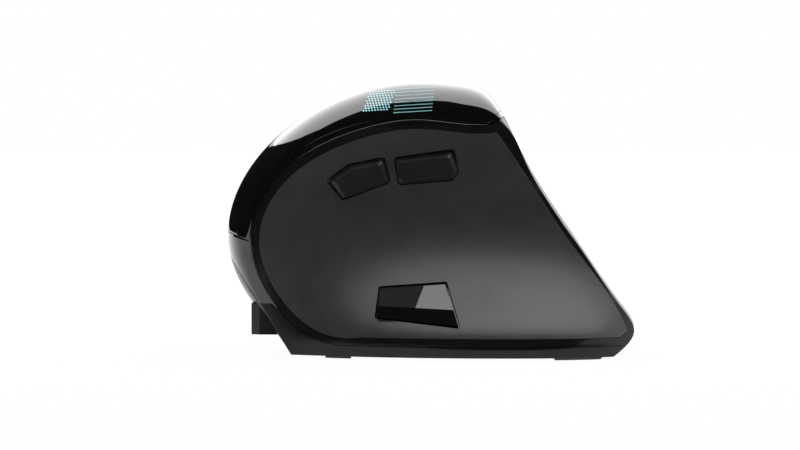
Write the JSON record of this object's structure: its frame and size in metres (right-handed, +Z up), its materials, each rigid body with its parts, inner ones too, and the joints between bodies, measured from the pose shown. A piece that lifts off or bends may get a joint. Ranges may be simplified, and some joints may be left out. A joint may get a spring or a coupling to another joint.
{
  "type": "vertical ergonomic mouse",
  "caption": "Right-handed vertical computer mouse with a thumb grip, gloss ridge, scroll wheel, sprung buttons and a charging port under the nose.",
  "frame": {"origin": "centre of the bounding box's footprint, on the desk", "axes": "+X from the nose to the heel, +Y towards the finger side away from the thumb, +Z up"},
  "size_m": [0.1114, 0.0783, 0.0754],
  "materials": {
    "gloss_black": "high gloss moulded black plastic",
    "satin_black": "satin moulded black plastic",
    "soft_grip": "soft-touch dark grey grip coating",
    "button_black": "fine matt black plastic",
    "gloss_key": "polished black key",
    "inner_plastic": "plain inner moulding",
    "white_plastic": "white switch plunger",
    "board_green": "circuit board laminate",
    "tyre_rubber": "ribbed wheel rubber",
    "steel": "plain steel",
    "socket_steel": "drawn steel socket shell",
    "clear_lens": "clear moulded lens",
    "guide_white": "milky light guide",
    "battery_foil": "foil pouch",
    "glide_grey": "low friction glide foot"
  },
  "bodies": {
    "case": {"back_switch": "inner_plastic", "base_shell": "satin_black", "battery": "battery_foil", "board_screws": "steel", "carriage_pins": "steel", "case_screws": "steel", "centre_strip": "gloss_black", "chassis": "inner_plastic", "display_board": "board_green", "dpi_switch": "inner_plastic", "finger_board": "board_green", "forward_switch": "inner_plastic", "front_foot": "glide_grey", "front_panel": "gloss_black", "key_switch": "inner_plastic", "left_switch": "inner_plastic", "light_guide": "guide_white", "main_board": "board_green", "optical_sensor": "inner_plastic", "palm_cover": "soft_grip", "port_block": "satin_black", "port_board": "board_green", "port_socket": "socket_steel", "port_tongue": "inner_plastic", "rear_foot": "glide_grey", "rear_trim": "gloss_black", "right_switch": "inner_plastic", "sensor_lens": "clear_lens", "slide_switch": "inner_plastic", "thumb_board": "board_green", "thumb_frame": "satin_black", "thumb_panel": "soft_grip", "top_cover": "gloss_black", "wheel_encoder": "inner_plastic", "wheel_switch": "inner_plastic"},
    "left_click": {"left_button": "button_black"},
    "right_click": {"right_button": "button_black"},
    "left_click_plunger": {"left_plunger": "white_plastic"},
    "right_click_plunger": {"right_plunger": "white_plastic"},
    "carriage": {"wheel_carriage": "inner_plastic"},
    "wheel": {"scroll_wheel": "inner_plastic", "wheel_tyre": "tyre_rubber", "wheel_axle": "steel"},
    "carriage_plunger": {"wheel_plunger": "white_plastic"},
    "resolution": {"dpi_button": "button_black"},
    "resolution_plunger": {"dpi_plunger": "white_plastic"},
    "forward": {"forward_button": "button_black"},
    "forward_switch_plunger": {"forward_plunger": "white_plastic"},
    "back": {"back_button": "button_black"},
    "back_switch_plunger": {"back_plunger": "white_plastic"},
    "key": {"thumb_key": "gloss_key"},
    "key_switch_plunger": {"key_plunger": "white_plastic"},
    "power": {"slide_knob": "button_black"}
  },
  "joints": [
    {"name": "left_click", "type": "hinge", "parent": "case", "child": "left_click", "pos_m": [-0.0018, 0.01805, 0.06136], "axis": [0, -0.6156, 0.788], "range_deg": [0, 0.5649], "stiffness_Nm_per_rad": 2, "springref_deg": -0.46},
    {"name": "left_plunger_slide", "type": "slide", "parent": "case", "child": "left_click_plunger", "axis": [0.3392, -0.7413, -0.5791], "range_m": [0, 0.00036]},
    {"name": "right_click", "type": "hinge", "parent": "case", "child": "right_click", "pos_m": [-0.0018, 0.02963, 0.04654], "axis": [0, -0.6156, 0.788], "range_deg": [0, 0.4832], "stiffness_Nm_per_rad": 2, "springref_deg": -0.46},
    {"name": "right_plunger_slide", "type": "slide", "parent": "case", "child": "right_click_plunger", "axis": [0.3392, -0.7413, -0.5791], "range_m": [0, 0.00036]},
    {"name": "wheel_press", "type": "slide", "parent": "case", "child": "carriage", "axis": [0.3392, -0.7413, -0.5791], "range_m": [0, 0.0004], "stiffness_N_per_m": 1500, "springref_m": -0.0003},
    {"name": "wheel_plunger_slide", "type": "slide", "parent": "case", "child": "carriage_plunger", "axis": [0.3392, -0.7413, -0.5791], "range_m": [0, 0.0004]},
    {"name": "resolution_press", "type": "slide", "parent": "case", "child": "resolution", "axis": [0.3392, -0.7413, -0.5791], "range_m": [0, 0.0004], "stiffness_N_per_m": 800, "springref_m": -0.0003},
    {"name": "resolution_plunger_slide", "type": "slide", "parent": "case", "child": "resolution_plunger", "axis": [0.3392, -0.7413, -0.5791], "range_m": [0, 0.0004]},
    {"name": "forward_press", "type": "slide", "parent": "case", "child": "forward", "axis": [0, 1, 0], "range_m": [0, 0.0005], "stiffness_N_per_m": 800, "springref_m": -0.0003},
    {"name": "forward_plunger_slide", "type": "slide", "parent": "case", "child": "forward_switch_plunger", "axis": [0, 1, 0], "range_m": [0, 0.0005]},
    {"name": "back_press", "type": "slide", "parent": "case", "child": "back", "axis": [0, 1, 0], "range_m": [0, 0.0005], "stiffness_N_per_m": 800, "springref_m": -0.0003},
    {"name": "back_plunger_slide", "type": "slide", "parent": "case", "child": "back_switch_plunger", "axis": [0, 1, 0], "range_m": [0, 0.0005]},
    {"name": "key_press", "type": "slide", "parent": "case", "child": "key", "axis": [0, 1, 0], "range_m": [0, 0.0005], "stiffness_N_per_m": 800, "springref_m": -0.0003},
    {"name": "key_plunger_slide", "type": "slide", "parent": "case", "child": "key_switch_plunger", "axis": [0, 1, 0], "range_m": [0, 0.0005]},
    {"name": "wheel_spin", "type": "hinge", "parent": "carriage", "child": "wheel", "pos_m": [-0.03046, 0.01444, 0.0466], "axis": [0, 0.6156, -0.788], "continuous": true},
    {"name": "power_slide", "type": "slide", "parent": "case", "child": "power", "axis": [1, 0, 0], "range_m": [-0.0015, 0.0015]}
  ],
  "couplings": [
    {"joint": "left_plunger_slide", "follows": "left_click", "m_per_rad": 0.0355},
    {"joint": "right_plunger_slide", "follows": "right_click", "m_per_rad": 0.0415},
    {"joint": "wheel_plunger_slide", "follows": "wheel_press", "ratio": 1},
    {"joint": "resolution_plunger_slide", "follows": "resolution_press", "ratio": 1},
    {"joint": "forward_plunger_slide", "follows": "forward_press", "ratio": 1},
    {"joint": "back_plunger_slide", "follows": "back_press", "ratio": 1},
    {"joint": "key_plunger_slide", "follows": "key_press", "ratio": 1}
  ]
}
